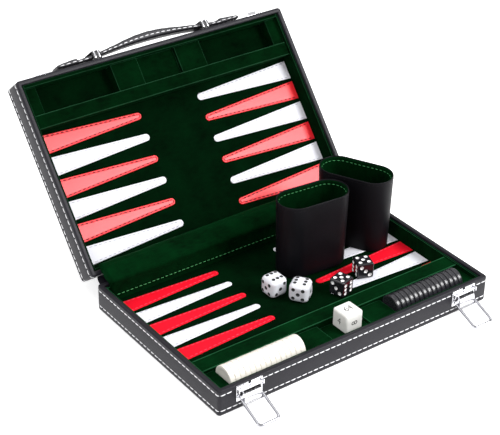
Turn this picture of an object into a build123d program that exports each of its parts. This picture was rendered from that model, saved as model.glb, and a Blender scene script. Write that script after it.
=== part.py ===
from build123d import *
import math
import os

# Backgammon case with its loose set: a leatherette-covered attache case in two
# equal halves, joined at the back by a flexible strip, velour-lined, with a
# wire-bail latch at each end of the front and a strap handle on the lid.
# Millimetres. Origin: centre of the base tray's underside. +X right along the
# front, +Y towards the hinge, +Z up. The lid is first laid out closed on the
# base, then turned back about the hinge axis to its standing position.

os.makedirs("parts", exist_ok=True)

# ---- driving dimensions -------------------------------------------------
case_w = 280.0          # outside width of both halves
case_d = 178.0          # outside depth, front to hinge side
half_h = 24.4           # outside height of one half
rim_gap = 0.2           # gap between the two rims when shut
corner_r = 3.0          # outside vertical corners

cover_t = 0.8           # leatherette
board_t = 3.0           # wall board
turn_t = 0.6            # leatherette turned over the rim and down inside
turn_depth = 12.0       # height at which the turned-in leatherette ends
floor_board_t = 3.0
pad_t = 3.1             # velour over card, the playing surface
lining_side_t = 2.0
lining_front_t = 3.0
lining_back_t = 2.2
lining_top = 22.0

ridge_d = {"base": 15.0, "lid": 12.0}   # bar between the board and the checker tray
ridge_h_top = {"base": 21.0, "lid": 20.0}
tray_top = 18.0         # tops of the tray's blocks
tray_d = 25.0           # clear depth of the checker tray
cube_floor = 14.5       # raised floor of the middle well
well_end = 122.2        # outer ends of the two checker wells
well_in = 47.0          # inner ends of the two checker wells
well_mid = 20.0         # half width of the middle well

point_t = 0.7           # inlaid points
point_w = 17.6          # width at the wall
point_tip_r = 3.25
point_tip_x = 33.8      # centre of the rounded tip
point_end_x = 133.3
point_pitch = 20.5
point_first_base = 20.8 # first point's centre line, from the hinge-side face
point_first_lid = 19.4

lid_open = 130.3        # angle from shut to the standing position
hinge_y = case_d / 2 + 4.15
hinge_z = half_h + rim_gap / 2 - 0.0

latch_x = (-111.5, 112.0)
plate_w, plate_t = 25.0, 0.8
plate_z0, plate_z1 = 8.8, 23.4
lever_half = 8.25
pin_y, pin_z, pin_r = -91.3, 19.5, 0.70
pin_hole_r = 0.75
bail_r = 1.2            # bail wire radius
bail_arm_x = 9.75
bail_y, bail_z = -92.7, 10.8
stub_r, stub_hole_r = 0.80, 0.85

strap_end_x = 96.2
strap_shift = 0.4
keeper_x = (-56.6, 58.4)
keeper_w = 8.0
strap_w = 15.0

cup_l, cup_r, cup_h = 17.1, 17.15, 71.0      # straight half-length, end radius, height
cup_taper = 0.955
cup_wall = 2.2
cup_liner_t = 1.3
cups = {"front": (43.8, 33.1, -5.0), "back": (101.5, 44.6, -62.5)}

white_die, black_die, cube = 17.8, 15.0, 18.0
checker_d, checker_t, checker_n = 21.5, 4.9, 15

# ---- derived ------------------------------------------------------------
hw, hd = case_w / 2, case_d / 2
rim = cover_t + board_t + turn_t                 # wall thickness at the rim
floor_z = cover_t + floor_board_t                # top of the floor board
board_z = floor_z + pad_t                        # playing surface
in_x = hw - rim - lining_side_t
front_in = -(hd - rim - lining_front_t)
back_in = hd - rim - lining_back_t
ridge_front = front_in + tray_d
mid_z = half_h + rim_gap / 2
HINGE = Axis((0, hinge_y, mid_z), (1, 0, 0))


def box(x0, x1, y0, y1, z0, z1):
    return Pos((x0 + x1) / 2, (y0 + y1) / 2, (z0 + z1) / 2) * Box(x1 - x0, y1 - y0, z1 - z0)


def vertical(b, r, which=lambda e: True):
    es = [e for e in b.edges().filter_by(Axis.Z) if which(e)]
    return fillet(es, r)


def yz_prism(points, x0, x1):
    # closed outline given as (y, z), extruded along X from x0 to x1
    wire = Polyline(*[(x0, y, z) for y, z in points], close=True)
    return extrude(make_face(wire), amount=x1 - x0, dir=(1, 0, 0))


def x_rod(y, z, r, x0, x1):
    return Pos((x0 + x1) / 2, y, z) * Rot(0, 90, 0) * Cylinder(r, x1 - x0)


def to_lid(part):
    shut = mirror(part, about=Plane(origin=(0, 0, mid_z), z_dir=(0, 0, 1)))
    return shut.rotate(HINGE, -lid_open)


def lid_local(part):
    # a piece drawn straight on the shut lid
    return part.rotate(HINGE, -lid_open)


def solids(shape):
    if isinstance(shape, (list, tuple)):
        out = []
        for s in shape:
            out += solids(s)
        return out
    return list(shape.solids())


def write(name, shape):
    ss = solids(shape)
    part = ss[0] if len(ss) == 1 else Compound(children=ss)
    part.label = name
    export_step(part, f"parts/{name}.step")


# ---- one half of the case, drawn as the base ------------------------------
def half_frame():
    zt = half_h - turn_t
    c = cover_t
    front = box(-hw + c, hw - c, -hd + c, -hd + c + board_t, c, zt)
    front = vertical(front, corner_r - c, lambda e: e.center().Y < -hd + c + 0.1)
    back = box(-hw + c, hw - c, hd - c - board_t, hd - c, c, zt)
    back = vertical(back, corner_r - c, lambda e: e.center().Y > hd - c - 0.1)
    y = hd - c - board_t
    left = box(-hw + c, -hw + c + board_t, -y, y, c, zt)
    right = box(hw - c - board_t, hw - c, -y, y, c, zt)
    return [front, back, left, right]


def half_cover():
    zt = half_h - turn_t
    outer = vertical(box(-hw, hw, -hd, hd, cover_t, half_h), corner_r)
    # soft edge along the rim
    outer = fillet(outer.edges().group_by(Axis.Z)[-1], 0.35)
    inner = box(-hw + rim, hw - rim, -hd + rim, hd - rim, 0, 30)
    c, b = cover_t, cover_t + board_t
    cavity = vertical(box(-hw + c, hw - c, -hd + c, hd - c, 0, zt), corner_r - c)
    cavity -= box(-hw + b, hw - b, -hd + b, hd - b, -1, 40)
    below = box(-hw + b, hw - b, -hd + b, hd - b, 0, turn_depth)
    return outer - inner - cavity - below


def half_under():
    return vertical(box(-hw, hw, -hd, hd, 0, cover_t), corner_r)


def half_floor_board():
    b = cover_t + board_t
    return box(-hw + b, hw - b, -hd + b, hd - b, cover_t, floor_z)


def half_lining():
    x1, y1 = hw - rim, hd - rim
    return [
        box(-x1, -in_x, -y1, y1, floor_z, lining_top),
        box(in_x, x1, -y1, y1, floor_z, lining_top),
        box(-in_x, in_x, -y1, front_in, floor_z, lining_top),
        box(-in_x, in_x, back_in, y1, floor_z, lining_top),
    ]


def half_pad():
    return box(-in_x, in_x, front_in, back_in, floor_z, board_z)


def half_ridge(half):
    r = box(-in_x, in_x, ridge_front, ridge_front + ridge_d[half], board_z, ridge_h_top[half])
    return fillet(r.edges().filter_by(Axis.X).group_by(Axis.Z)[-1], 1.2)


def half_tray_blocks():
    y0, y1 = front_in, ridge_front
    return [
        box(-in_x, -well_end, y0, y1, board_z, tray_top),
        box(-well_in, -well_mid, y0, y1, board_z, tray_top),
        box(-well_mid, well_mid, y0, y1, board_z, cube_floor),
        box(well_mid, well_in, y0, y1, board_z, tray_top),
        box(well_end, in_x, y0, y1, board_z, tray_top),
    ]


def half_points(half, first, odd_side):
    """The points of one colour. odd_side is the side (-1 left, +1 right) whose
    first, third and fifth points have this colour; the other side has it on
    the second, fourth and sixth."""
    out = []
    for i in range(6):
        side = odd_side if i % 2 == 0 else -odd_side
        y = hd - (first + i * point_pitch)
        h = point_w / 2
        corners = [(side * point_end_x, y - side * h), (side * point_end_x, y + side * h),
                   (side * point_tip_x, y + side * point_tip_r), (side * point_tip_x, y - side * point_tip_r)]
        shape = Polygon(*corners, align=None)
        shape = shape + Pos(side * point_tip_x, y) * Circle(point_tip_r)
        p = extrude(Pos(0, 0, board_z) * shape, amount=point_t, dir=(0, 0, 1))
        # the point nearest the ridge is trimmed along it
        out.append(p - box(-hw, hw, ridge_front, ridge_front + ridge_d[half] + 0.02, 0, half_h))
    return out


halves = {
    "frame": half_frame(),
    "cover": half_cover(),
    "underside_cover": half_under(),
    "floor_board": half_floor_board(),
    "wall_lining": half_lining(),
    "playing_pad": half_pad(),
    "tray_blocks": half_tray_blocks(),
}
for name, shape in halves.items():
    write("base_" + name, shape)
    lid_name = "top_cover" if name == "underside_cover" else name
    write("lid_" + lid_name, [to_lid(s) for s in solids(shape)])

write("base_tray_ridge", half_ridge("base"))
write("lid_tray_ridge", to_lid(half_ridge("lid")))

# the colours alternate round the board, so the lid's sides are swapped
write("base_red_points", half_points("base", point_first_base, -1))
write("base_white_points", half_points("base", point_first_base, 1))
write("lid_white_points", [to_lid(s) for s in solids(half_points("lid", point_first_lid, -1))])
write("lid_red_points", [to_lid(s) for s in solids(half_points("lid", point_first_lid, 1))])


# ---- flexible hinge ---------------------------------------------------------
def at_lid(s, d):
    """Where a point of the lid stands: s from its hinge-side face towards the
    handle, d from its rim towards its outer face. Returns (y, z)."""
    y, z = -(hinge_y - hd) - s, rim_gap / 2 + d
    a = math.radians(-lid_open)
    return (hinge_y + y * math.cos(a) - z * math.sin(a),
            mid_z + y * math.sin(a) + z * math.cos(a))


liner = [
    (79.4, 13.6), (82.0, 13.6), (82.0, 22.4), (84.2, 24.8), (89.2, 25.0),
    (92.4, 26.6), (95.3, 28.3), at_lid(4.6, -0.4), at_lid(7.2, 1.0),
    at_lid(9.2, 0.6), at_lid(8.6, -1.4), (100.2, 35.2), (97.0, 36.8), (93.6, 37.2), (90.1, 36.8),
    (86.0, 34.9), (82.0, 32.9), (78.6, 31.4), (77.3, 29.6), (77.4, 27.4), (78.8, 24.0), (79.4, 19.0),
]
write("hinge_liner", yz_prism(liner, -131.0, 131.0))

# outer leatherette strip: an arc about the hinge axis from the base's back
# face round to the lid's back face
strip_r0, strip_r1 = 4.35, 5.35
a0, a1 = 222.0, 367.5
n = 14
pts = [(hinge_y + strip_r1 * math.cos(math.radians(a0 + (a1 - a0) * i / n)),
        mid_z + strip_r1 * math.sin(math.radians(a0 + (a1 - a0) * i / n))) for i in range(n + 1)]
pts += [(hinge_y + strip_r0 * math.cos(math.radians(a1 - (a1 - a0) * i / n)),
         mid_z + strip_r0 * math.sin(math.radians(a1 - (a1 - a0) * i / n))) for i in range(n + 1)]
write("hinge_outer_strip", yz_prism(pts, -134.0, 134.0))


# ---- latches ----------------------------------------------------------------
face_y = -hd


def latch_plate(cx):
    p = box(cx - plate_w / 2, cx + plate_w / 2, face_y - plate_t, face_y, plate_z0, plate_z1)
    p -= box(cx - 1.3, cx + 1.3, face_y - 2, face_y + 1, plate_z1 - 2.0, plate_z1 + 1)
    for s in (-1, 1):
        ear = box(cx + s * 11.7 - 0.5, cx + s * 11.7 + 0.5, pin_y - 1.3, face_y - plate_t, pin_z - 2.0, pin_z + 2.0)
        ear -= x_rod(pin_y, pin_z, pin_r, cx + s * 11.7 - 2, cx + s * 11.7 + 2)
        p += ear
    return p


def latch_lever(cx):
    x0, x1 = cx - lever_half, cx + lever_half
    rk = 1.35
    outer = [(pin_y - rk, pin_z), (-93.9, 17.2), (-94.9, 14.2), (-95.0, 11.0), (-94.6, 8.6), (-95.6, 7.2)]
    inner = [(-94.9, 6.6), (-93.8, 8.3), (-94.2, 11.0), (-94.1, 14.0), (-93.1, 16.8), (pin_y - 0.4, pin_z - 1.3), (pin_y, pin_z)]
    shell = yz_prism(outer + inner, x0, x1)
    lever = shell + x_rod(pin_y, pin_z, rk, x0, x1)
    for s in (-1, 1):
        xa, xb = sorted((cx + s * lever_half, cx + s * (lever_half - 0.9)))
        lever += yz_prism([(-94.6, 8.9), (-91.2, 8.9), (-91.2, 12.6), (-92.6, 17.0), (-93.4, 17.0), (-94.5, 14.0)], xa, xb)
    lever -= x_rod(pin_y, pin_z, pin_hole_r, x0 - 1, x1 + 1)
    for s in (-1, 1):
        xa, xb = sorted((cx + s * (lever_half + 1), cx + s * (lever_half - 2)))
        lever -= x_rod(bail_y, bail_z, stub_hole_r, xa, xb)
    return lever


bail_len = 25.6
end_z = bail_r + 0.06
bail_end = (bail_y - math.sqrt(bail_len ** 2 - (bail_z - end_z) ** 2), end_z)


def latch_bail(cx):
    cr = 3.2
    dy, dz = (bail_end[0] - bail_y) / bail_len, (bail_end[1] - bail_z) / bail_len
    plane = Plane(origin=(cx, bail_y, bail_z), x_dir=(1, 0, 0), z_dir=(0, -dz, dy))
    # in the plane: x across, y along the arms
    q = plane.to_local_coords(Vector(cx, bail_end[0], bail_end[1]))
    ys = 1 if q.Y > 0 else -1
    a = bail_arm_x
    L = bail_len
    with BuildLine(plane) as path:
        Line((-a, 0), (-a, ys * (L - cr)))
        RadiusArc((-a, ys * (L - cr)), (-a + cr, ys * L), cr if ys > 0 else -cr)
        Line((-a + cr, ys * L), (a - cr, ys * L))
        RadiusArc((a - cr, ys * L), (a, ys * (L - cr)), cr if ys > 0 else -cr)
        Line((a, ys * (L - cr)), (a, 0))
    prof = Plane(origin=path.line @ 0, z_dir=path.line % 0) * Circle(bail_r)
    wire = sweep(prof, path=path.line)
    for s in (-1, 1):
        wire += Pos(cx + s * a, bail_y, bail_z) * Sphere(bail_r)
        xa, xb = sorted((cx + s * a, cx + s * (lever_half - 0.8)))
        wire += x_rod(bail_y, bail_z, stub_r, xa, xb)
    return wire


def latch_pin(cx):
    return x_rod(pin_y, pin_z, pin_r, cx - 12.2, cx + 12.2)


def rivet(x, z, y=None, r=1.25, h=0.6):
    y = face_y - plate_t if y is None else y
    dome = Pos(x, y, z) * Rot(90, 0, 0) * Pos(0, 0, h / 2) * Cylinder(r, h)
    return fillet(dome.edges().group_by(Axis.Y)[0], h * 0.7)


for side, cx in zip(("left", "right"), latch_x):
    write(side + "_latch_plate", latch_plate(cx))
    write(side + "_latch_lever", latch_lever(cx))
    write(side + "_latch_bail", latch_bail(cx))
    write(side + "_latch_pin", latch_pin(cx))
write("latch_rivets", [rivet(cx + s * 10.3, 13.2) for cx in latch_x for s in (-1, 1)])


def strike(cx):
    p = box(cx - 8, cx + 8, face_y - plate_t, face_y, 27.4, 36.6)
    hook = yz_prism([(face_y - plate_t, 30.2), (-93.2, 31.2), (-93.3, 34.2), (-92.5, 34.2),
                     (-92.4, 32.0), (face_y - plate_t, 31.2)], cx - 4.5, cx + 4.5)
    return p + hook


for side, cx in zip(("left", "right"), latch_x):
    write(side + "_strike", lid_local(strike(cx)))
write("strike_rivets", [lid_local(rivet(cx + s * 6.3, 32.0, r=1.1)) for cx in latch_x for s in (-1, 1)])

# ---- handle -----------------------------------------------------------------
lid_mid_z = mid_z + rim_gap / 2 + half_h / 2


def strap():
    """Strap drawn in the XY plane against the shut lid's front face: flat ends
    held off the wall, a padded arch between the keepers."""
    z0 = lid_mid_z - strap_w / 2
    # (distance from the middle, height of the inner side, height of the outer side)
    inner = [(96, 2.0), (84, 1.6), (74, 1.6), (66, 2.0), (58, 2.6), (51, 3.4), (39, 4.5), (25, 5.4), (12, 5.9)]
    outer = [(66, 5.5), (58, 6.3), (50, 7.2), (37, 9.1), (23, 11.5), (12, 12.9)]
    lo = [(-x + strap_shift, face_y - h) for x, h in inner] + [(strap_shift, face_y - 6.0)]
    lo += [(x + strap_shift, face_y - h) for x, h in inner[::-1]]
    hi = [(-x + strap_shift, face_y - h) for x, h in outer] + [(strap_shift, face_y - 13.5)]
    hi += [(x + strap_shift, face_y - h) for x, h in outer[::-1]]
    e, k = strap_end_x, 75.0
    # folded stop ends, too thick to pass the keepers
    right = [(k, face_y - 5.0), (k + 1.4, face_y - 6.9), (88.0, face_y - 6.1), (e - 0.6, face_y - 5.2), (e, face_y - 4.6)]
    left = [(-x, y) for x, y in right]
    sh = strap_shift
    right = [(x + sh, y) for x, y in right]
    left = [(x + sh, y) for x, y in left]
    edges = Spline(*lo) + Polyline(lo[-1], *right[::-1], hi[-1]) + Spline(*hi[::-1]) + Polyline(hi[0], *left, lo[0])
    s = extrude(make_face(Plane.XY * edges), amount=strap_w, dir=(0, 0, 1))
    return Pos(0, 0, z0) * s


def keeper(cx):
    # a loop across the strap, standing on the lid's face
    w, t = keeper_w, 0.9
    y1 = face_y - 7.6
    z0, z1 = lid_mid_z - strap_w / 2 - 0.5, lid_mid_z + strap_w / 2 + 0.5
    k = box(cx - w / 2, cx + w / 2, y1 - t, face_y, z0 - t, z1 + t)
    k = fillet(k.edges().filter_by(Axis.X).group_by(Axis.Y)[0], 2.2)
    inner = box(cx - w, cx + w, y1, face_y + 1, z0, z1)
    k -= fillet(inner.edges().filter_by(Axis.X).group_by(Axis.Y)[0], 1.5)
    k += box(cx - w / 2, cx + w / 2, face_y - 0.55, face_y, z0 - t, z1 + t)
    return k


write("handle_strap", lid_local(strap()))
write("handle_keepers", [lid_local(keeper(x)) for x in keeper_x])


# ---- dice cups --------------------------------------------------------------
def stadium(z, length, radius):
    return Pos(0, 0, z) * (Rectangle(2 * length, 2 * radius) + Pos(-length, 0) * Circle(radius) + Pos(length, 0) * Circle(radius))


def cup_solid(inset, z0, z1):
    k0 = cup_taper + (1 - cup_taper) * z0 / cup_h
    k1 = cup_taper + (1 - cup_taper) * z1 / cup_h
    return loft([stadium(z0, cup_l * k0, cup_r * k0 - inset), stadium(z1, cup_l * k1, cup_r * k1 - inset)])


def cup_pieces():
    wall = cup_wall - cup_liner_t
    shell = cup_solid(0, 0, cup_h) - cup_solid(wall, 1.6, cup_h + 2)
    lining = cup_solid(wall + 0.03, 1.62, cup_h - 0.8) - cup_solid(cup_wall, 3.2, cup_h + 2)
    return shell, lining


for nm, (x, y, a) in cups.items():
    shell, lining = cup_pieces()
    place = Pos(x, y, board_z + point_t) * Rot(0, 0, a)
    write(nm + "_cup_shell", place * shell)
    write(nm + "_cup_lining", place * lining)


# ---- dice, cube and checkers --------------------------------------------------
def die(size, r, x, y, z, yaw):
    d = fillet(Box(size, size, size).edges(), r)
    return Pos(x, y, z + size / 2) * Rot(0, 0, yaw) * d


write("white_die_1", die(white_die, 4.0, -9.7, 14.6, board_z, 1.5))
write("white_die_2", die(white_die, 4.0, 4.3, -4.3, board_z, 36.0))
write("black_die_1", die(black_die, 1.5, 37.9, -17.4, board_z + point_t, 15.4))
write("black_die_2", die(black_die, 1.5, 70.6, -6.8, board_z + point_t, -18.2))
write("doubling_cube", die(cube, 2.2, 3.7, -67.2, cube_floor, 1.0))


def checker_row(x0, yc, lean=0.0, jitter=()):
    out = []
    zc = board_z + checker_d / 2
    for i in range(checker_n):
        c = Pos(x0 + (i + 0.5) * checker_t, yc, zc) * Rot(0, 90, 0) * Cylinder(checker_d / 2, checker_t - 0.02)
        out.append(c)
    return out


write("ivory_checkers", checker_row(-121.9, -69.1))
write("black_checkers", checker_row(48.0, -69.1))
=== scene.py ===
import bpy
import bmesh
import math
import random
from mathutils import Matrix, Vector, noise


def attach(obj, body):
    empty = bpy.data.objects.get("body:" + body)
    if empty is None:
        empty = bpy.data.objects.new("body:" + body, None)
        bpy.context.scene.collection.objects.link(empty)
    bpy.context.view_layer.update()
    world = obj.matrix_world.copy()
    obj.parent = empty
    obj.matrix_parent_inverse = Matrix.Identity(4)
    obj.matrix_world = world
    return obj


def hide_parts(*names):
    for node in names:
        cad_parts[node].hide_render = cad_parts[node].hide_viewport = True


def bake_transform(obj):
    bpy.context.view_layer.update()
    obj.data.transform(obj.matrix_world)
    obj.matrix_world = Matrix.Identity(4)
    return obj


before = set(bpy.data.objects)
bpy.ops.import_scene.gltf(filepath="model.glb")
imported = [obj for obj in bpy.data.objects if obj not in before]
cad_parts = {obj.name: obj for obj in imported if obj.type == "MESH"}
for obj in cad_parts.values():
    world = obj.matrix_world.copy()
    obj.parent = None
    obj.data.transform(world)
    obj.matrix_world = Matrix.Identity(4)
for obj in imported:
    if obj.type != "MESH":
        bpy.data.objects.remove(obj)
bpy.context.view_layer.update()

SC = bpy.context.scene
random.seed(11)
MM = 0.001


# ---- placing: millimetres in the base's own frame, and the same on the lid ----
TURN = math.radians(-130.3)
CT, ST = math.cos(TURN), math.sin(TURN)


def at_base(p):
    return Vector(p) * MM


def turned(p):
    y, z = p[1] - 93.15, p[2] - 24.5
    return Vector((p[0], 93.15 + y * CT - z * ST, 24.5 + y * ST + z * CT)) * MM


def at_lid(p):
    return turned((p[0], p[1], 49.0 - p[2]))


# ---- materials ---------------------------------------------------------------
def material(name, base=(0.5, 0.5, 0.5), rough=0.5, **sockets):
    m = bpy.data.materials.new(name)
    m.use_nodes = True
    t = m.node_tree
    b = next(n for n in t.nodes if n.type == "BSDF_PRINCIPLED")
    b.inputs["Base Color"].default_value = (*base, 1)
    b.inputs["Roughness"].default_value = rough
    for k, v in sockets.items():
        b.inputs[k.replace("_", " ")].default_value = v
    return m, t, b


def node(t, kind, **props):
    n = t.nodes.new(kind)
    for k, v in props.items():
        setattr(n, k, v)
    return n


def place_coords(t, stretch=(1, 1, 1)):
    c = node(t, "ShaderNodeTexCoord")
    if stretch == (1, 1, 1):
        return c.outputs["Object"]
    m = node(t, "ShaderNodeMapping")
    m.inputs["Scale"].default_value = stretch
    t.links.new(c.outputs["Object"], m.inputs["Vector"])
    return m.outputs["Vector"]


def noise_of(t, vec, scale, detail=3.0, rough=0.55):
    n = node(t, "ShaderNodeTexNoise")
    n.inputs["Scale"].default_value = scale
    n.inputs["Detail"].default_value = detail
    n.inputs["Roughness"].default_value = rough
    t.links.new(vec, n.inputs["Vector"])
    return n.outputs["Fac"]


def cells_of(t, vec, scale, feature="F1"):
    n = node(t, "ShaderNodeTexVoronoi", feature=feature)
    n.inputs["Scale"].default_value = scale
    t.links.new(vec, n.inputs["Vector"])
    return n.outputs["Distance"]


def ramp_of(t, fac, stops):
    r = node(t, "ShaderNodeValToRGB")
    e = r.color_ramp.elements
    while len(e) < len(stops):
        e.new(0.5)
    for el, (p, c) in zip(e, stops):
        el.position = p
        el.color = (*c, 1) if len(c) == 3 else c
    t.links.new(fac, r.inputs["Fac"])
    return r.outputs["Color"]


def mix_of(t, fac, a, b, kind="MIX"):
    m = node(t, "ShaderNodeMix", data_type="RGBA", blend_type=kind)
    if isinstance(fac, (int, float)):
        m.inputs["Factor"].default_value = fac
    else:
        t.links.new(fac, m.inputs["Factor"])
    for sock, v in ((m.inputs[6], a), (m.inputs[7], b)):
        if isinstance(v, tuple):
            sock.default_value = (*v, 1)
        else:
            t.links.new(v, sock)
    return m.outputs[2]


def map_of(t, fac, lo, hi, a=0.0, b=1.0):
    m = node(t, "ShaderNodeMapRange")
    m.inputs["From Min"].default_value, m.inputs["From Max"].default_value = a, b
    m.inputs["To Min"].default_value, m.inputs["To Max"].default_value = lo, hi
    t.links.new(fac, m.inputs["Value"])
    return m.outputs["Result"]


def bump_of(t, height, strength, distance, under=None):
    b = node(t, "ShaderNodeBump")
    b.inputs["Strength"].default_value = strength
    b.inputs["Distance"].default_value = distance
    t.links.new(height, b.inputs["Height"])
    if under is not None:
        t.links.new(under, b.inputs["Normal"])
    return b.outputs["Normal"]


def leather(name, dark, light, rough=(0.4, 0.56), grain=1500, depth=0.00012, spec=0.5, strength=0.5):
    m, t, b = material(name, dark, 0.5, Specular_IOR_Level=spec)
    v = place_coords(t)
    cells = cells_of(t, v, grain)
    fine = noise_of(t, v, grain * 2.2, 2)
    broad = noise_of(t, v, 45, 3)
    col = ramp_of(t, broad, [(0.3, dark), (0.75, light)])
    col = mix_of(t, map_of(t, cells, 0.0, 0.5, 0.05, 0.6), col, tuple(c * 0.55 for c in dark))
    t.links.new(col, b.inputs["Base Color"])
    t.links.new(map_of(t, fine, rough[0], rough[1], 0.3, 0.7), b.inputs["Roughness"])
    n = bump_of(t, cells, strength, depth)
    n = bump_of(t, fine, strength * 0.6, depth * 0.5, n)
    n = bump_of(t, broad, 0.25, 0.0008, n)
    t.links.new(n, b.inputs["Normal"])
    return m


def pile(name, dark, light, sheen=0.3, tint=(0.2, 0.6, 0.3), spec=0.12, crush=38, rough=0.9):
    m, t, b = material(name, dark, rough, Specular_IOR_Level=spec, Sheen_Weight=sheen, Sheen_Roughness=0.45, Sheen_Tint=(*tint, 1))
    v = place_coords(t)
    patch = noise_of(t, v, crush, 4, 0.6)
    swirl = noise_of(t, place_coords(t, (1, 3.2, 1)), crush * 4, 3)
    fibre = noise_of(t, v, 3600, 2)
    col = ramp_of(t, patch, [(0.32, dark), (0.72, light)])
    col = mix_of(t, map_of(t, swirl, 0.0, 0.55, 0.35, 0.75), col, light)
    col = mix_of(t, map_of(t, fibre, 0.0, 0.5, 0.35, 0.8), col, tuple(c * 0.35 for c in dark))
    t.links.new(col, b.inputs["Base Color"])
    n = bump_of(t, fibre, 0.6, 0.0002)
    n = bump_of(t, swirl, 0.35, 0.0006, n)
    t.links.new(n, b.inputs["Normal"])
    return m


def felt(name, base, shade, rough, spec, fibre_mix=0.25):
    m, t, b = material(name, base, rough, Specular_IOR_Level=spec, Sheen_Weight=0.06, Sheen_Roughness=0.4)
    v = place_coords(t)
    fibre = noise_of(t, v, 2600, 3, 0.7)
    patch = noise_of(t, v, 70, 3)
    col = mix_of(t, map_of(t, fibre, 0.0, fibre_mix, 0.4, 0.8), base, shade)
    col = mix_of(t, map_of(t, patch, 0.0, 0.18, 0.45, 0.8), col, shade)
    t.links.new(col, b.inputs["Base Color"])
    n = bump_of(t, fibre, 0.35, 0.00015)
    n = bump_of(t, patch, 0.2, 0.0006, n)
    t.links.new(n, b.inputs["Normal"])
    return m


def thread(name, base, dark):
    m, t, b = material(name, base, 0.6, Specular_IOR_Level=0.3)
    tw = node(t, "ShaderNodeTexWave", wave_type="BANDS", bands_direction="DIAGONAL")
    tw.inputs["Scale"].default_value = 700
    tw.inputs["Distortion"].default_value = 1.5
    t.links.new(place_coords(t), tw.inputs["Vector"])
    t.links.new(mix_of(t, map_of(t, tw.outputs["Fac"], 0.0, 0.35), base, dark), b.inputs["Base Color"])
    t.links.new(bump_of(t, tw.outputs["Fac"], 0.4, 0.0001), b.inputs["Normal"])
    return m


def plastic(name, base, shade, rough, coat=0.25, spec=0.5, mottled=25):
    m, t, b = material(name, base, rough, Specular_IOR_Level=spec, Coat_Weight=coat, Coat_Roughness=0.08)
    v = place_coords(t)
    patch = noise_of(t, v, mottled, 3)
    fine = noise_of(t, v, 900, 3)
    t.links.new(mix_of(t, map_of(t, patch, 0.0, 0.6, 0.35, 0.7), base, shade), b.inputs["Base Color"])
    t.links.new(map_of(t, fine, rough * 0.8, rough * 1.35, 0.3, 0.7), b.inputs["Roughness"])
    t.links.new(bump_of(t, fine, 0.06, 0.00005), b.inputs["Normal"])
    return m


def metal(name, base, rough):
    m, t, b = material(name, base, rough, Metallic=1.0)
    v = place_coords(t, (1, 1, 9))
    scr = noise_of(t, v, 500, 4, 0.7)
    patch = noise_of(t, place_coords(t), 140, 3)
    t.links.new(map_of(t, scr, rough * 0.6, rough * 1.7, 0.3, 0.7), b.inputs["Roughness"])
    t.links.new(mix_of(t, map_of(t, patch, 0, 0.4, 0.4, 0.8), base, tuple(c * 0.8 for c in base)), b.inputs["Base Color"])
    t.links.new(bump_of(t, patch, 0.12, 0.0003), b.inputs["Normal"])
    return m


LEATHER = leather("leatherette_charcoal", (0.0085, 0.0078, 0.0125), (0.0145, 0.0132, 0.020), rough=(0.40, 0.52), spec=0.27)
STRAP = leather("strap_leatherette", (0.016, 0.0155, 0.020), (0.032, 0.031, 0.038), grain=1900)
KEEP = leather("keeper_leatherette", (0.012, 0.012, 0.015), (0.022, 0.022, 0.026), grain=2100)
CUP = leather("cup_leather_smooth", (0.0030, 0.0029, 0.0042), (0.0060, 0.0056, 0.0080), rough=(0.42, 0.54), grain=2600, depth=0.00004, spec=0.12, strength=0.2)
VELOUR = pile("velour_green", (0.0001, 0.0060, 0.0012), (0.0004, 0.0230, 0.0045), sheen=0.03, tint=(0.05, 0.7, 0.2), spec=0.02)
VELOUR_PAD = pile("velour_green_pad", (0.0001, 0.0035, 0.0008), (0.0003, 0.0110, 0.0024), sheen=0.02, tint=(0.05, 0.7, 0.2), spec=0.015)
# darker copy of the velour for the lid's lining, ridge and blocks: painted shade on the same cloth as the base's
VELOUR_LID_SHADED = pile("velour_green_lid", (0.0001, 0.0038, 0.0008), (0.0004, 0.0150, 0.0030), sheen=0.02, tint=(0.05, 0.7, 0.2), spec=0.015)
# lighter velour for the bevels and ridge edges: a painted highlight standing in for the sheen along the turned
# edges; the lid's copy below is darker, painted shade
EDGE_HIGHLIGHT = pile("velour_green_fold", (0.003, 0.045, 0.014), (0.010, 0.095, 0.034), sheen=0.15)
EDGE_HIGHLIGHT_LID_SHADED = pile("velour_green_fold_lid", (0.001, 0.020, 0.006), (0.006, 0.050, 0.018), sheen=0.1)
RED = felt("felt_red", (0.86, 0.0015, 0.018), (0.42, 0.0, 0.006), 0.6, 0.12)
# lit copy of the red felt for the lid: lighter colour and shade, painted light, with a stronger specular for the
# glare; the same cloth as the base's red
RED_LID_LIT = felt("felt_red_lid", (0.92, 0.008, 0.018), (0.70, 0.001, 0.008), 0.42, 0.72)
WHITE = felt("felt_white", (0.76, 0.76, 0.81), (0.66, 0.66, 0.72), 0.65, 0.2, 0.2)
CHROME = metal("chrome_bright", (0.80, 0.80, 0.83), 0.10)
WIRE = metal("chrome_wire", (0.42, 0.42, 0.45), 0.07)
BOARD = pile("board_fibre", (0.36, 0.26, 0.15), (0.5, 0.37, 0.22), sheen=0.0, tint=(1, 1, 1))
T_WHITE = thread("thread_white", (0.93, 0.93, 0.95), (0.7, 0.7, 0.74))
T_GREEN = thread("thread_green", (0.06, 0.30, 0.10), (0.03, 0.16, 0.05))
T_DARKRED = thread("thread_dark_red", (0.22, 0.001, 0.008), (0.12, 0.0, 0.004))
T_PINK = thread("thread_rose", (0.9, 0.06, 0.11), (0.6, 0.02, 0.05))
T_PALE = thread("thread_pale", (0.50, 0.50, 0.56), (0.4, 0.4, 0.46))
P_WHITE = plastic("plastic_white", (0.80, 0.81, 0.86), (0.72, 0.73, 0.79), 0.16)
P_CUBE = plastic("plastic_cube", (0.87, 0.86, 0.83), (0.78, 0.77, 0.73), 0.2)
P_IVORY = plastic("plastic_ivory", (0.86, 0.82, 0.745), (0.80, 0.765, 0.69), 0.3, coat=0.1)
P_BLACK = plastic("plastic_black", (0.010, 0.010, 0.012), (0.018, 0.018, 0.022), 0.13)
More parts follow.
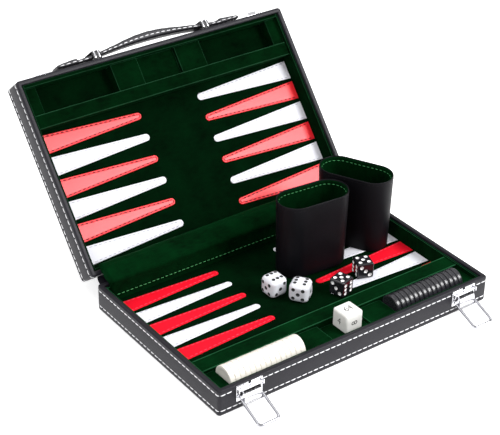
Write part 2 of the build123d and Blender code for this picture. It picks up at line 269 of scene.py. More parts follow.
P_BLACKC = plastic("plastic_black_checker", (0.012, 0.012, 0.015), (0.024, 0.024, 0.03), 0.25, coat=0.15)
INK = plastic("ink_black", (0.008, 0.008, 0.009), (0.014, 0.014, 0.015), 0.3, coat=0.0)
PIP_WHITE = plastic("pip_white", (0.9, 0.9, 0.9), (0.8, 0.8, 0.8), 0.35, coat=0.0)


# ---- mesh building -----------------------------------------------------------
class Geo:
    def __init__(self):
        self.v, self.f, self.m = [], [], []

    def ring(self, pts):
        i = len(self.v)
        self.v += [tuple(p) for p in pts]
        return list(range(i, i + len(pts)))

    def face(self, ids, mi=0):
        self.f.append(ids)
        self.m.append(mi)

    def bridge(self, a, b, closed=True, mi=0):
        n = len(a)
        for i in range(n if closed else n - 1):
            j = (i + 1) % n
            self.face([a[i], a[j], b[j], b[i]], mi)

    def loft(self, rings, closed=True, caps=(True, True), mi=0):
        ids = [self.ring(r) for r in rings]
        for a, b in zip(ids, ids[1:]):
            self.bridge(a, b, closed, mi)
        if caps[0]:
            self.face(ids[0][::-1], mi)
        if caps[1]:
            self.face(ids[-1], mi)
        return ids

    def tube(self, pts, ups, r, flat=0.75, n=6, mi=0):
        """A stitch: a short thread along pts, lying on a surface whose normals are ups."""
        pts = [Vector(p) for p in pts]
        k = len(pts)
        rings = []
        for i, p in enumerate(pts):
            t = (pts[min(i + 1, k - 1)] - pts[max(i - 1, 0)]).normalized()
            u = Vector(ups[i]).normalized()
            s = t.cross(u).normalized()
            e = min(i, k - 1 - i)
            q = (0.45, 0.9, 1.0)[min(e, 2)]
            sink = (0.5, 0.1, 0.0)[min(e, 2)] * r
            rings.append([p - u * sink + s * (r * q * math.cos(2 * math.pi * j / n)) + u * (r * q * flat * math.sin(2 * math.pi * j / n)) for j in range(n)])
        self.loft(rings, mi=mi)


def build(name, g, mats, body=None, to=at_base, replaces=(), smooth=True, sharp=None):
    me = bpy.data.meshes.new(name)
    me.from_pydata([to(p) for p in g.v], [], g.f)
    for p, i in zip(me.polygons, g.m):
        p.material_index = i
        p.use_smooth = smooth
    me.update()
    bm = bmesh.new()
    bm.from_mesh(me)
    bmesh.ops.recalc_face_normals(bm, faces=bm.faces)
    bm.to_mesh(me)
    bm.free()
    if sharp is not None:
        me.set_sharp_from_angle(angle=math.radians(sharp))
    o = bpy.data.objects.new(name, me)
    SC.collection.objects.link(o)
    for m in (mats if isinstance(mats, (list, tuple)) else [mats]):
        me.materials.append(m)
    if body:
        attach(o, body)
    if replaces:
        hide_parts(*replaces)
    return o


def walk(path, closed=False):
    """Points with the distance along the path."""
    pts = [Vector(p) for p in path] + ([Vector(path[0])] if closed else [])
    d = [0.0]
    for a, b in zip(pts, pts[1:]):
        d.append(d[-1] + (b - a).length)
    return pts, d


def point_at(pts, d, s):
    s = max(0.0, min(s, d[-1] - 1e-9))
    for i in range(len(d) - 1):
        if d[i + 1] >= s and d[i + 1] > d[i]:
            return pts[i].lerp(pts[i + 1], (s - d[i]) / (d[i + 1] - d[i]))
    return pts[-1].copy()


def sew(g, path, up, length, gap, r, closed=False, skip=None, flat=0.75, lift=0.12, jitter=0.04, margin=0.0, steps=6, mi=0):
    """A row of stitches along a path; up gives the surface normal at a point."""
    pts, d = walk(path, closed)
    total = d[-1] - 2 * margin
    n = max(1, round(total / (length + gap)))
    step = total / n
    ln = length * step / (length + gap)
    for i in range(n):
        s0 = margin + i * step + (step - ln) / 2
        q = [point_at(pts, d, s0 + ln * k / steps) for k in range(steps + 1)]
        mid = q[steps // 2]
        if skip and skip(mid):
            continue
        ups = [Vector(up(p)).normalized() for p in q]
        w = r * (1 + random.uniform(-jitter, jitter))
        g.tube([p + u * lift for p, u in zip(q, ups)], ups, w, flat, mi=mi)


def rrect(hx, hy, r, n=8, z=0.0):
    out = []
    for cx, cy, a0 in ((hx - r, hy - r, 0), (r - hx, hy - r, 90), (r - hx, r - hy, 180), (hx - r, r - hy, 270)):
        for i in range(n + 1):
            a = math.radians(a0 + 90 * i / n)
            out.append((cx + r * math.cos(a), cy + r * math.sin(a), z))
    return out


# ---- leatherette covers ------------------------------------------------------
COVER = [(-4.4, 12.0), (-4.4, 23.2), (-4.28, 23.8), (-3.95, 24.2), (-3.4, 24.37), (-2.2, 24.4), (-1.3, 24.38), (-0.8, 24.25), (-0.38, 23.98), (-0.1, 23.55), (0, 23.0),
         (0, 21.1), (-0.1, 20.6), (-0.3, 20.2), (-0.3, 19.8), (-0.1, 19.4), (0, 18.9), (0, 12.5), (0, 6.2), (-0.1, 5.65), (-0.3, 5.25), (-0.3, 4.85), (-0.1, 4.45),
         (0, 4.0), (0, 2.4), (-0.12, 1.6), (-0.45, 0.85), (-1.0, 0.32), (-1.7, 0.06), (-2.6, 0.0)]


def cover(name, to, body, replaced):
    g = Geo()
    rings = [rrect(140 + o, 89 + o, max(3.0 + o, 0.45), 8, z) for o, z in COVER]
    g.loft(rings, caps=(False, True))
    return build(name, g, LEATHER, body, to, replaced)


cover("base_leather_cover", at_base, "base", ("base_cover", "base_underside_cover"))
cover("lid_leather_cover", at_lid, "lid", ("lid_cover", "lid_top_cover"))


def wall_normal(p):
    x = max(-137.0, min(137.0, p.x))
    y = max(-86.0, min(86.0, p.y))
    v = Vector((p.x - x, p.y - y, 0))
    return v if v.length > 1e-6 else Vector((0, -1, 0))


LATCH_X = (-111.5, 112.0)


def edge_rows(name, to, body, hidden):
    g = Geo()
    for z in (20.0, 5.05):
        path = rrect(139.75, 88.75, 2.8, 8, z)
        sew(g, path, wall_normal, 4.7, 0.95, 0.5, closed=True, skip=lambda p: hidden(p, z), flat=0.7, lift=0.1)
    build(name, g, T_WHITE, body, to)


edge_rows("base_edge_stitching", at_base, "base", lambda p, z: p.y < -88 and z > 8 and any(abs(p.x - c) < 14.6 for c in LATCH_X))
edge_rows("lid_edge_stitching", at_lid, "lid",
          lambda p, z: p.y < -88 and ((z > 8 and any(abs(p.x - c) < 10.6 for c in LATCH_X)) or min(abs(p.x + 56.6), abs(p.x - 58.4)) < 7))


# ---- velour: round the CAD pieces' edges; the bevels get a lighter velour, a painted highlight ---
def soften(n, mats, width, segments=3, limit=35):
    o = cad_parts[n]
    o.data.materials.clear()
    for m in mats:
        o.data.materials.append(m)
    w = o.modifiers.new("weld", "WELD")
    w.merge_threshold = 0.00001
    b = o.modifiers.new("round", "BEVEL")
    b.width = width * MM
    b.segments = segments
    b.limit_method = "ANGLE"
    b.angle_limit = math.radians(limit)
    b.use_clamp_overlap = True
    # the bevel faces take the second material: a lighter velour, a painted highlight on the edges
    if len(mats) > 1:
        b.material = 1
    b.harden_normals = False
    k = o.modifiers.new("normals", "WEIGHTED_NORMAL")
    k.keep_sharp = False
    for p in o.data.polygons:
        p.use_smooth = True
    return o


# the lid half takes the darker velour copies: painted shade
for half, plain, edge_highlight in (("base", VELOUR, EDGE_HIGHLIGHT), ("lid", VELOUR_LID_SHADED, EDGE_HIGHLIGHT_LID_SHADED)):
    soften(half + "_wall_lining", [plain, edge_highlight], 0.45)
    soften(half + "_playing_pad", [VELOUR_PAD], 0.3)
    soften(half + "_tray_ridge", [plain, edge_highlight], 0.5)
    soften(half + "_tray_blocks", [plain, edge_highlight], 0.45)
    for n in ("_frame", "_floor_board"):
        soften(half + n, [BOARD], 0.2, 2)


def ridge_turned_edge_highlights(name, to, body, back, top, mats):
    """The velour's turned edges along the ridge, a little proud and uneven, in a lighter velour that paints the edge
    highlight.
    """
    g = Geo()
    for y in (-56.35, back - 0.25):
        rings = []
        for i in range(121):
            x = -133.3 + 266.6 * i / 120
            wz = 0.08 * noise.noise(Vector((x * 0.11, y, 0.3)))
            wy = 0.12 * noise.noise(Vector((x * 0.07, y, 2.1)))
            r = 0.46 * (1 + 0.25 * noise.noise(Vector((x * 0.21, y, 5.0))))
            rings.append([(x, y + wy + r * math.cos(math.pi * k / 3), top - 0.3 + wz + r * math.sin(math.pi * k / 3)) for k in range(6)])
        g.loft(rings)
    build(name, g, mats, body, to)


# tubes of lighter velour along the ridge edges: painted highlight lines; the lid's are darker, painted shade
ridge_turned_edge_highlights("base_ridge_folds", at_base, "base", -41.6, 21.0, EDGE_HIGHLIGHT)
ridge_turned_edge_highlights("lid_ridge_folds", at_lid, "lid", -44.6, 20.0, EDGE_HIGHLIGHT_LID_SHADED)


# ---- the inlaid points --------------------------------------------------------
def tongue(inset, z, side, yc, n_arc=14, n_side=12):
    """One loop round a point: wide end at the wall, rounded tip, drawn in by inset."""
    r = 3.25 - inset
    xe, xt, hw = 133.3 - inset, 33.8, 8.8 - inset
    L = xe - xt
    ang = math.asin((hw - r) / math.hypot(L, hw - r)) if hw > r else 0
    pts = []
    a0 = math.pi / 2 + ang
    tips = []
    for i in range(n_arc + 1):
        a = a0 + (2 * math.pi - 2 * a0) * i / n_arc
        tips.append((xt + r * math.cos(a), r * math.sin(a)))
    up = [(xe + (tips[0][0] - xe) * k / n_side, hw + (tips[0][1] - hw) * k / n_side) for k in range(n_side)]
    lo = [(xe + (tips[-1][0] - xe) * k / n_side, -hw + (tips[-1][1] + hw) * k / n_side) for k in range(n_side)]
    pts = up + tips + lo[::-1]
    return [(side * x, yc + side * y, z) for x, y in pts]


PUFF = [(0.0, 6.95), (0.12, 7.28), (0.4, 7.5), (0.85, 7.6), (1.3, 7.5), (1.55, 7.38), (1.8, 7.5), (2.2, 7.6), (2.75, 7.62)]


def points(name, to, first, pick, mats, body, node_name, tname):
    thick = 0.6 if "lid_red" in name else 0.36
    g, s = Geo(), Geo()
    for side in (-1, 1):
        for i in range(6):
            if not pick(side, i):
                continue
            yc = 89 - (first + 20.5 * i)
            wob = [random.uniform(-0.12, 0.12) for _ in range(3)]
            keep = (-41.5 if to is at_base else -44.5)
            g.loft([[(px, max(py, keep), pz) for px, py, pz in tongue(a, z, side, yc + wob[0])] for a, z in PUFF], caps=(False, True))
            loop = tongue(1.6, 7.42, side, yc + wob[0])
            k = 12
            sew(s, loop[: k + 1], lambda p: (0, 0, 1), 3.3, 1.5, thick, margin=1.5, steps=3, lift=0.2)
            sew(s, loop[-(k + 1):], lambda p: (0, 0, 1), 3.3, 1.5, thick, margin=1.5, steps=3, lift=0.2)
            sew(s, loop[k: -k], lambda p: (0, 0, 1), 2.2, 0.9, thick * 0.8, margin=0.2, steps=3, lift=0.16)
    build(name, g, mats[0], body, to, (node_name,), sharp=50)
    build(tname, s, mats[1], body, to)


points("base_red_tongues", at_base, 20.8, lambda s, i: (i % 2 == 0) == (s < 0), (RED, T_PINK), "base", "base_red_points", "base_red_stitching")
points("base_white_tongues", at_base, 20.8, lambda s, i: (i % 2 == 1) == (s < 0), (WHITE, T_PALE), "base", "base_white_points", "base_white_stitching")
# the lid's red points use the lit copy of the felt: painted light
points("lid_red_tongues", at_lid, 19.4, lambda s, i: (i % 2 == 1) == (s < 0), (RED_LID_LIT, T_DARKRED), "lid", "lid_red_points", "lid_red_stitching")
points("lid_white_tongues", at_lid, 19.4, lambda s, i: (i % 2 == 0) == (s < 0), (WHITE, T_PALE), "lid", "lid_white_points", "lid_white_stitching")


# ---- hinge liner and outer strip ------------------------------------------------
def lidline(s, d):
    y, z = -4.15 - s, 0.1 + d
    return (93.15 + y * CT - z * ST, 24.5 + y * ST + z * CT)


def rounded(loop, times=2):
    for _ in range(times):
        out = []
        n = len(loop)
        for i in range(n):
            a, b = loop[i], loop[(i + 1) % n]
            out.append((a[0] * 0.75 + b[0] * 0.25, a[1] * 0.75 + b[1] * 0.25))
            out.append((a[0] * 0.25 + b[0] * 0.75, a[1] * 0.25 + b[1] * 0.75))
        loop = out
    return loop


def roll(name, outline, x_end, mats, amp, replaced, stations=170, seed=0.0):
    loop = rounded(outline)
    cy = sum(p[0] for p in loop) / len(loop)
    cz = sum(p[1] for p in loop) / len(loop)
    g = Geo()
    rings = []
    for i in range(stations + 1):
        x = -x_end + 2 * x_end * i / stations
        e = min(x + x_end, x_end - x)
        shrink = 1.0 if e > 4 else 0.80 + 0.20 * math.sqrt(max(0.0, 1 - (1 - e / 4) ** 2))
        ring = []
        for y, z in loop:
            dy, dz = y - cy, z - cz
            L = math.hypot(dy, dz) or 1
            q = noise.noise(Vector((x * 0.045, y * 0.10 + seed, z * 0.10)))
            r = noise.noise(Vector((x * 0.16, y * 0.24, z * 0.24 + seed)))
            w = amp * (0.75 * q + 0.4 * r) - amp * 0.35
            ring.append((x, cy + dy * shrink + dy / L * w, cz + dz * shrink + dz / L * w))
        rings.append(ring)
    g.loft(rings)
    o = build(name, g, mats, None, at_base)
    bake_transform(o)
    if replaced:
        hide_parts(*replaced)
    return o


LINER_A = [(79.4, 13.6), (82, 13.6), (82, 18), (82, 22.4), (84.2, 24.8), (89.2, 25), (92.4, 26.6), (94.6, 28.0), (95.6, 30.5), (95.4, 34.0), (94.4, 36.6), (92.0, 37.0), (90.1, 36.7), (86, 34.9), (82, 32.9), (78.8, 31.2),
           (77.5, 29.4), (77.5, 27.4), (78.8, 24), (79.4, 19)]
LINER_B = [(92.6, 27.4), (95.3, 28.4), lidline(4.6, -0.4), lidline(7.2, 1), lidline(9.2, 0.6), lidline(8.6, -1.4), (100.2, 35.3), (97, 36.9), (94.2, 37.1), (91.4, 36.3), (90.8, 32)]
la = roll("hinge_liner_lower", LINER_A, 130.9, VELOUR, 0.7, ("hinge_liner",), seed=1.3)
lb = roll("hinge_liner_upper", LINER_B, 130.7, VELOUR, 0.6, (), seed=4.1)

g = Geo()
sew(g, [(-127, 79.05, 14.6), (127, 79.05, 14.6)], lambda p: (0, -1, 0.2), 3.0, 1.4, 0.36, lift=0.2)
build("hinge_liner_stitching", g, T_GREEN, "base", at_base)


def arc_strip(name, a0, a1, replaced, inset=0.0):
    g = Geo()
    rings = []
    n = 30
    outline = []
    for i in range(n + 1):
        a = math.radians(a0 + (a1 - a0) * i / n)
        outline.append((5.32 - inset, a))
    for i in range(n, -1, -1):
        a = math.radians(a0 + (a1 - a0) * i / n)
        outline.append((4.4 + inset, a))
    for k in range(41):
        x = -133.9 + 267.8 * k / 40
        e = min(k, 40 - k)
        rings.append([(x, 93.15 + (r if e else (r * 0.5 + 2.43)) * math.cos(a), 24.5 + (r if e else (r * 0.5 + 2.43)) * math.sin(a)) for r, a in outline])
    g.loft(rings)
    o = build(name, g, LEATHER, None, at_base, sharp=40)
    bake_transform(o)
    if replaced:
        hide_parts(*replaced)
    return o


arc_strip("hinge_strip_lower", 222, 301, ("hinge_outer_strip",))
arc_strip("hinge_strip_upper", 299, 367.3, (), inset=0.03)


# ---- handle -------------------------------------------------------------------
def along(table, x):
    for (a, va), (b, vb) in zip(table, table[1:]):
        if a <= x <= b:
            t = (x - a) / (b - a)
            t = t * t * (3 - 2 * t) * 0.35 + t * 0.65
            return va + (vb - va) * t
    return table[-1][1] if x > table[-1][0] else table[0][1]


INNER = [(0, 6.0), (12, 5.9), (25, 5.4), (39, 4.5), (51, 3.4), (58, 2.6), (66, 2.0), (74, 1.65), (84, 1.65), (96.2, 2.1)]
OUTER = [(0, 13.45), (12, 12.85), (23, 11.45), (37, 9.05), (50, 7.15), (58, 6.25), (66, 5.45), (75.2, 5.0), (76.2, 6.6), (77.4, 6.85), (88, 6.05), (93.5, 5.4), (95.4, 4.9), (96.2, 4.2)]


def strap_ring(x, squeeze=1.0, n=36):
    ax = abs(x)
    b, t = along(INNER, ax), along(OUTER, ax)
    mid, half = (b + t) / 2, (t - b) / 2
    out = []
    wob = 0.05 * math.sin(x * 0.9)
    for i in range(n):
        a = 2 * math.pi * i / n
        c, s = math.cos(a), math.sin(a)
        w = 7.4 * math.copysign(abs(c) ** 0.42, c) * squeeze
        h = half * math.copysign(abs(s) ** 0.62, s) * (0.6 + 0.4 * squeeze)
        # the stitched channels run just in from both edges
        if 5.2 < abs(w) < 6.6:
            h *= 0.93
        out.append((x + 0.4, -89 - (mid + h + (wob if s > 0 else 0)), 36.8 + w))
    return out


g = Geo()
xs = [-96.1, -95.8, -95.0, -93.8] + [-92 + 184 * i / 150 for i in range(151)] + [93.8, 95.0, 95.8, 96.1]
extra = [s * v for s in (-1, 1) for v in (75.0, 75.5, 76.0, 76.6)]
xs = sorted(set(round(v, 3) for v in xs + extra))
g.loft([strap_ring(x, 1.0 if abs(x) < 95 else (0.95 if abs(x) < 95.9 else 0.88)) for x in xs])
strap = build("handle_strap_padded", g, STRAP, "handle", turned, ("handle_strap",), sharp=70)
g = Geo()


def strap_line(w, share, x0, x1, n=80):
    pts = []
    for i in range(n + 1):
        x = x0 + (x1 - x0) * i / n
        b, t = along(INNER, abs(x)), along(OUTER, abs(x))
        pts.append((x + 0.4, -89 - (b + (t - b) * share), 36.8 + w))
    return pts


for x0, x1 in ((-94.5, -64), (-50.5, 51.5), (65, 94.5)):
    for sgn in (-1, 1):
        sew(g, strap_line(7.38 * sgn, 0.42, x0, x1), lambda p, q=sgn: (0, 0, q), 3.8, 1.9, 0.36, steps=5, lift=0.12)
build("handle_stitching", g, T_WHITE, "handle", turned)

soften("handle_keepers", [KEEP], 0.35, 3)
g = Geo()
for cx in (-56.6, 58.4):
    for dx in (-2.1, 2.1):
        sec = []
        for i in range(10):
            a = 2 * math.pi * i / 10
            sec.append((dx + 0.95 * math.cos(a), 0.42 * math.sin(a)))
        path = [(0.3, -9.2)] + [(h, -9.2) for h in (2.5, 4.5, 6.2)]
        path += [(6.4 + 2.3 * math.sin(math.radians(a)), -6.9 - 2.3 * math.cos(math.radians(a))) for a in (15, 35, 55, 75, 90)]
        path += [(8.7, v) for v in (-4, 0, 4)]
        path += [(6.4 + 2.3 * math.cos(math.radians(a)), 6.9 + 2.3 * math.sin(math.radians(a))) for a in (0, 15, 35, 55, 75)]
        path += [(h, 9.2) for h in (6.2, 4.5, 2.5, 0.3)]
        rings = []
        for i, (h, w) in enumerate(path):
            a, b = path[max(i - 1, 0)], path[min(i + 1, len(path) - 1)]
            th, tw = b[0] - a[0], b[1] - a[1]
            L = math.hypot(th, tw) or 1
            nh, nw = tw / L, -th / L
            rings.append([(cx + q, -89 - (h + nh * r), 36.8 + (w + nw * r)) for q, r in sec])
        g.loft(rings)
build("handle_keeper_bands", g, CHROME, "lid", turned)

# ---- latches and strikes --------------------------------------------------------
for side in ("left", "right"):
    soften(side + "_latch_plate", [CHROME], 0.22, 3)
    soften(side + "_latch_lever", [CHROME], 0.18, 3)
    soften(side + "_latch_bail", [WIRE], 0.02, 1, 60)
    soften(side + "_latch_pin", [CHROME], 0.05, 2, 50)
    soften(side + "_strike", [CHROME], 0.2, 3)
soften("latch_rivets", [CHROME], 0.05, 2, 50)
soften("strike_rivets", [CHROME], 0.05, 2, 50)


# ---- dice cups -------------------------------------------------------------------
def stadium_ring(z, off, n=28, ns=8):
    k = 0.955 + 0.045 * z / 71.0
    L, r = 17.1 * k, 17.15 * k + off
    out = []
    for i in range(n + 1):
        a = math.radians(-90 + 180 * i / n)
        out.append((L + r * math.cos(a), r * math.sin(a)))
    for i in range(1, ns):
        out.append((L - 2 * L * i / ns, r))
    for i in range(n + 1):
        a = math.radians(90 + 180 * i / n)
        out.append((-L + r * math.cos(a), r * math.sin(a)))
    for i in range(1, ns):
        out.append((-L + 2 * L * i / ns, -r))
    return [(x, y, z) for x, y in out]


CUP_OUT = [(-3.0, 0.0), (-1.2, 0.0), (-0.5, 0.2), (-0.12, 0.65), (0, 1.3), (0, 12), (0, 24), (0, 36), (0, 48), (0, 60), (0, 69.4), (-0.05, 70.2), (-0.2, 70.75), (-0.45, 70.98), (-0.72, 70.85), (-0.86, 70.4), (-0.9, 69.6), (-0.9, 66), (-0.9, 40), (-0.9, 4), (-1.4, 2.2), (-3.0, 1.65)]
CUP_IN = [(-0.93, 60), (-0.93, 69.2), (-1.02, 69.85), (-1.3, 70.2), (-1.62, 70.2), (-1.95, 69.9), (-2.14, 69.3), (-2.2, 68.4), (-2.2, 50), (-2.2, 30), (-2.2, 8), (-2.6, 4.6), (-3.8, 3.3), (-6.0, 3.2)]
for nm, (x, y, a) in {"front": (43.8, 33.1, -5.0), "back": (101.5, 44.6, -62.5)}.items():
    ca, sa = math.cos(math.radians(a)), math.sin(math.radians(a))

    def cup_place(p, x=x, y=y, ca=ca, sa=sa):
        return Vector((x + p[0] * ca - p[1] * sa, y + p[0] * sa + p[1] * ca, p[2] + 7.6)) * MM

    body = nm + "_cup"
    g = Geo()
    rings = [stadium_ring(z, o) for o, z in CUP_OUT]
    g.loft(rings, caps=(True, True))
    build(nm + "_cup_leather", g, CUP, body, cup_place, (nm + "_cup_shell",))
    g = Geo()
    rings = []
    for o, z in CUP_IN:
        ring = stadium_ring(z, o)
        if z > 60 and o < -0.95:
            ring = [(px, py, pz + 0.12 * noise.noise(Vector((px * 0.2, py * 0.2, z * 0.2)))) for px, py, pz in ring]
        rings.append(ring)
    g.loft(rings, caps=(False, True))
    build(nm + "_cup_velour", g, VELOUR, body, cup_place, (nm + "_cup_lining",))
    g = Geo()
    path = stadium_ring(67.0, -2.15)

    def inward(p):
        lx = max(-17.1, min(17.1, p.x))
        v = Vector((lx - p.x, -p.y, 0))
        return v if v.length > 1e-6 else Vector((0, 0, 1))

    sew(g, path, inward, 2.8, 1.3, 0.34, closed=True, lift=0.1, steps=4)
    build(nm + "_cup_rim_stitching", g, T_GREEN, body, cup_place)
    g = Geo()
    sew(g, stadium_ring(68.2, 0.0), lambda p: -inward(p), 2.6, 1.2, 0.26, closed=True, lift=0.0, steps=4)
    build(nm + "_cup_leather_stitching", g, CUP, body, cup_place)


# ---- dice -------------------------------------------------------------------------
PATTERN = {1: [(0, 0)], 2: [(-1, -1), (1, 1)], 3: [(-1, -1), (0, 0), (1, 1)], 4: [(-1, -1), (-1, 1), (1, -1), (1, 1)], 5: [(-1, -1), (-1, 1), (0, 0), (1, -1), (1, 1)],
           6: [(-1, -1), (0, -1), (1, -1), (-1, 1), (0, 1), (1, 1)]}
# outward normal, and the two directions of the pattern's grid
FACES = {"+z": ((0, 0, 1), (1, 0, 0), (0, 1, 0)), "-z": ((0, 0, -1), (1, 0, 0), (0, -1, 0)), "-x": ((-1, 0, 0), (0, -1, 0), (0, 0, 1)), "+x": ((1, 0, 0), (0, 1, 0), (0, 0, 1)),
         "-y": ((0, -1, 0), (1, 0, 0), (0, 0, 1)), "+y": ((0, 1, 0), (-1, 0, 0), (0, 0, 1))}


def rounded_cube(size, r, seg=6):
    bm = bmesh.new()
    bmesh.ops.create_cube(bm, size=size)
    bmesh.ops.bevel(bm, geom=list(bm.edges), offset=r, segments=seg, profile=0.5, affect="EDGES", clamp_overlap=True)
    return bm


def place_object(o, x, y, z, yaw, body, replaced):
    o.data.transform(Matrix.Translation(Vector((x, y, z)) * MM) @ Matrix.Rotation(math.radians(yaw), 4, "Z") @ Matrix.Scale(MM, 4))
    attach(o, body)
    if replaced:
        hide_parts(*replaced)


def finish_smooth(o):
    for p in o.data.polygons:
        p.use_smooth = True
    k = o.modifiers.new("normals", "WEIGHTED_NORMAL")
    k.keep_sharp = True
    k.weight = 60


def die(name, size, r, numbers, x, y, z, yaw, mats, spread, pip_r):
    bm = rounded_cube(size, r)
    me = bpy.data.meshes.new(name)
    bm.to_mesh(me)
    bm.free()
    o = bpy.data.objects.new(name, me)
    SC.collection.objects.link(o)
    for m in mats:
        me.materials.append(m)
    cut = bmesh.new()
    for f, (num, flip, swap) in numbers.items():
        nrm, u, v = (Vector(q) for q in FACES[f])
        for a, b in PATTERN[num]:
            if swap:
                a, b = b, a
            if flip:
                a = -a
            ga = spread * (1.0 if abs(a) else 0)
            p = u * (a * spread) + v * (b * spread)
            c = nrm * (size / 2 + pip_r * 0.45) + p
            bmesh.ops.create_icosphere(cut, subdivisions=3, radius=pip_r * 1.1, matrix=Matrix.Translation(c))
    cm = bpy.data.meshes.new(name + "_pips")
    cut.to_mesh(cm)
    cut.free()
    co = bpy.data.objects.new(name + "_pips", cm)
    SC.collection.objects.link(co)
    for m in mats:
        cm.materials.append(m)
    for p in cm.polygons:
        p.material_index = 1
    b = o.modifiers.new("pips", "BOOLEAN")
    b.operation = "DIFFERENCE"
    b.solver = "EXACT"
    b.object = co
    dg = bpy.context.evaluated_depsgraph_get()
    made = bpy.data.meshes.new_from_object(o.evaluated_get(dg))
    o.modifiers.clear()
    o.data = made
    made.name = name
    bpy.data.objects.remove(co)
    made.set_sharp_from_angle(angle=math.radians(50))
    finish_smooth(o)
    place_object(o, x, y, z + size / 2, yaw, name.replace("_rolled", ""), (name.replace("_rolled", ""),))
    return o


W = {"+z": (6, 0, 0), "-z": (1, 0, 0), "-x": (5, 0, 0), "+x": (2, 0, 0), "-y": (3, 0, 0), "+y": (4, 0, 0)}
die("white_die_1_rolled", 17.8, 4.7, W, -9.7, 14.6, 6.9, 1.5, (P_WHITE, INK), 4.3, 1.75)
die("white_die_2_rolled", 17.8, 4.7, W, 4.3, -4.3, 6.9, 36.0, (P_WHITE, INK), 4.3, 1.75)
B1 = {"+z": (5, 0, 0), "-z": (2, 0, 0), "-x": (3, 1, 0), "+x": (4, 0, 0), "-y": (6, 0, 1), "+y": (1, 0, 0)}
B2 = {"+z": (5, 0, 0), "-z": (2, 0, 0), "-y": (3, 1, 0), "+y": (4, 0, 0), "-x": (6, 0, 1), "+x": (1, 0, 0)}
die("black_die_1_rolled", 15.0, 1.5, B1, 37.9, -17.4, 7.6, 15.4, (P_BLACK, PIP_WHITE), 3.9, 1.7)
die("black_die_2_rolled", 15.0, 1.5, B2, 70.6, -6.8, 7.6, -18.2, (P_BLACK, PIP_WHITE), 3.9, 1.7)

# ---- doubling cube ------------------------------------------------------------------
bm = rounded_cube(18.0, 2.2)
me = bpy.data.meshes.new("doubling_cube_body")
bm.to_mesh(me)
bm.free()
me.materials.append(P_CUBE)
cube = bpy.data.objects.new("doubling_cube_body", me)
SC.collection.objects.link(cube)
finish_smooth(cube)
place_object(cube, 3.7, -67.2, 14.5 + 9.0, 1.0, "doubling_cube", ("doubling_cube",))


def digits(name, text, f, turn, size=8.6):
    cu = bpy.data.curves.new(name, "FONT")
    cu.body = text
    cu.size = size
    cu.align_x = "CENTER"
    cu.align_y = "CENTER"
    cu.extrude = 0.03
    cu.offset = -0.05
    cu.resolution_u = 6
    o = bpy.data.objects.new(name + "_text", cu)
    SC.collection.objects.link(o)
    dg = bpy.context.evaluated_depsgraph_get()
    made = bpy.data.meshes.new_from_object(o.evaluated_get(dg))
    bpy.data.objects.remove(o)
    made.materials.clear()
    made.materials.append(INK)
    q = bpy.data.objects.new(name, made)
    SC.collection.objects.link(q)
    nrm, u, v = (Vector(w) for w in FACES[f])
    basis = Matrix((u, v, nrm)).transposed().to_4x4()
    made.transform(Matrix.Translation(nrm * 9.0) @ basis @ Matrix.Rotation(math.radians(turn), 4, "Z"))
    place_object(q, 3.7, -67.2, 14.5 + 9.0, 1.0, "doubling_cube", ())


digits("cube_number_64", "64", "+z", 0)
digits("cube_number_4", "4", "-x", 0)
digits("cube_number_8", "8", "-y", 90)
digits("cube_number_2", "2", "+x", 0)
digits("cube_number_16", "16", "+y", 90)
digits("cube_number_32", "32", "-z", 0)


# ---- checkers -------------------------------------------------------------------------
def checkers(name, x0, mat, body, wander, gap, lip):
    g = Geo()
    n = 72
    for i in range(15):
        t = 4.9 - 0.03 - gap
        xc = x0 + (i + 0.5) * 4.9
        dy, dz = random.uniform(-wander, wander), random.uniform(-wander, 0) - 0.02
        R = 10.72 - wander
        ya = random.uniform(-1, 1) * gap * 0.0045
        prof = [(-t / 2 + 0.35, 0.0), (-t / 2 + 0.35, R * 0.58), (-t / 2 + 0.28, R * 0.66), (-t / 2 + 0.05, R * 0.72), (-t / 2, R * 0.76), (-t / 2, R - lip * 1.2)]
        for a in (15, 35, 55, 75, 90):
            prof.append((-t / 2 + lip - lip * math.cos(math.radians(a)), R - lip + lip * math.sin(math.radians(a))))
        prof = prof + [(-x, r) for x, r in prof[::-1]]
        rings = []
        for px, r in prof[1:-1]:
            ring = []
            for k in range(n):
                a = 2 * math.pi * k / n
                y, z = r * math.cos(a), r * math.sin(a)
                ring.append((xc + px + ya * y, -69.1 + dy + y, 17.65 + dz + z))
            rings.append(ring)
        g.loft(rings)
    build(name, g, mat, body, at_base, (body,), sharp=40)


checkers("ivory_checker_row", -121.9, P_IVORY, "ivory_checkers", 0.12, 0.06, 0.7)
checkers("black_checker_row", 48.0, P_BLACKC, "black_checkers", 0.35, 0.25, 1.15)

# ---- any CAD node that still shows has a finish -----------------------------------------
for n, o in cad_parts.items():
    if not o.hide_render and not any(m and m.name in {x.name for x in (LEATHER, STRAP, KEEP, CUP, VELOUR, VELOUR_PAD, VELOUR_LID_SHADED, EDGE_HIGHLIGHT, EDGE_HIGHLIGHT_LID_SHADED, RED, WHITE, CHROME, WIRE, BOARD)} for m in o.data.materials):
        o.data.materials.clear()
        o.data.materials.append(BOARD)

# ---- floor, light, camera ------------------------------------------------------------------
FLOOR_GLOW = 0.55
m, t, b = material("floor_white", (0.9, 0.9, 0.9), 0.7, Specular_IOR_Level=0.1)
b.inputs["Emission Color"].default_value = (1, 1, 1, 1)
b.inputs["Emission Strength"].default_value = FLOOR_GLOW
fn = noise_of(t, place_coords(t), 3, 2)
t.links.new(mix_of(t, map_of(t, fn, 0, 0.3), (0.92, 0.92, 0.92), (0.89, 0.89, 0.9)), b.inputs["Base Color"])
me = bpy.data.meshes.new("floor")
me.from_pydata([(-9, -9, 0), (9, -9, 0), (9, 9, 0), (-9, 9, 0)], [], [[0, 1, 2, 3]])
me.materials.append(m)
floor = bpy.data.objects.new("floor", me)
SC.collection.objects.link(floor)

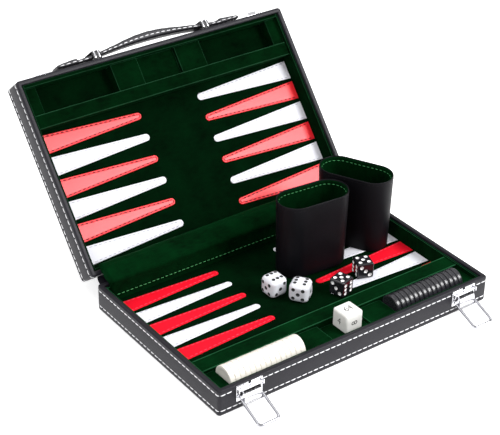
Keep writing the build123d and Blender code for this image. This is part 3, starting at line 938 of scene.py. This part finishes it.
w = bpy.data.worlds.new("studio")
SC.world = w
w.use_nodes = True
bg = next(n for n in w.node_tree.nodes if n.type == "BACKGROUND")
bg.inputs["Color"].default_value = (1, 1, 1, 1)
bg.inputs["Strength"].default_value = 0.8
wt = w.node_tree
wc = wt.nodes.new("ShaderNodeTexCoord")
ws = wt.nodes.new("ShaderNodeSeparateXYZ")
wt.links.new(wc.outputs["Generated"], ws.inputs[0])
sky = ramp_of(wt, map_of(wt, ws.outputs["Z"], 0.0, 1.0, -0.05, 1.0), [(0.0, (0.02, 0.02, 0.022)), (0.22, (0.03, 0.03, 0.033)), (0.42, (1, 1, 1))])
wt.links.new(sky, bg.inputs["Color"])


def softbox(name, direction, distance, size, power, aim=(0, 0.03, 0.05), colour=(1, 1, 1)):
    d = Vector(direction).normalized()
    li = bpy.data.lights.new(name, "AREA")
    li.shape = "RECTANGLE"
    li.size, li.size_y = size
    li.energy = power
    li.color = colour
    o = bpy.data.objects.new(name, li)
    o.location = Vector(aim) + d * distance
    o.rotation_mode = "QUATERNION"
    o.rotation_quaternion = d.to_track_quat("Z", "Y")
    SC.collection.objects.link(o)
    return o


softbox("key_right_front", (0.51, -0.63, 0.59), 1.7, (0.7, 0.7), 27)
softbox("fill_above", (-0.1, 0.15, 1.0), 1.6, (1.2, 1.2), 9)
softbox("fill_left", (-0.9, -0.35, 0.45), 1.7, (0.7, 0.9), 6)

cam = bpy.data.cameras.new("photo_camera")
co = bpy.data.objects.new("photo_camera", cam)
SC.collection.objects.link(co)
back = Vector((-0.5093, -0.6840, 0.5224)).normalized()
right = Vector((0.8021, -0.5972, 0)).normalized()
up = back.cross(right)
roll_a = math.radians(1.07)
r2 = right * math.cos(roll_a) + up * math.sin(roll_a)
u2 = up * math.cos(roll_a) - right * math.sin(roll_a)
co.matrix_world = Matrix((r2, u2, back)).transposed().to_4x4()
co.location = (-0.6660, -0.8308, 0.7376)
cam.sensor_width = 36.0
cam.lens = 109.07
cam.clip_start, cam.clip_end = 0.05, 50
SC.camera = co
SC.view_settings.view_transform = "Standard"
SC.view_settings.look = "None"

bpy.context.view_layer.update()
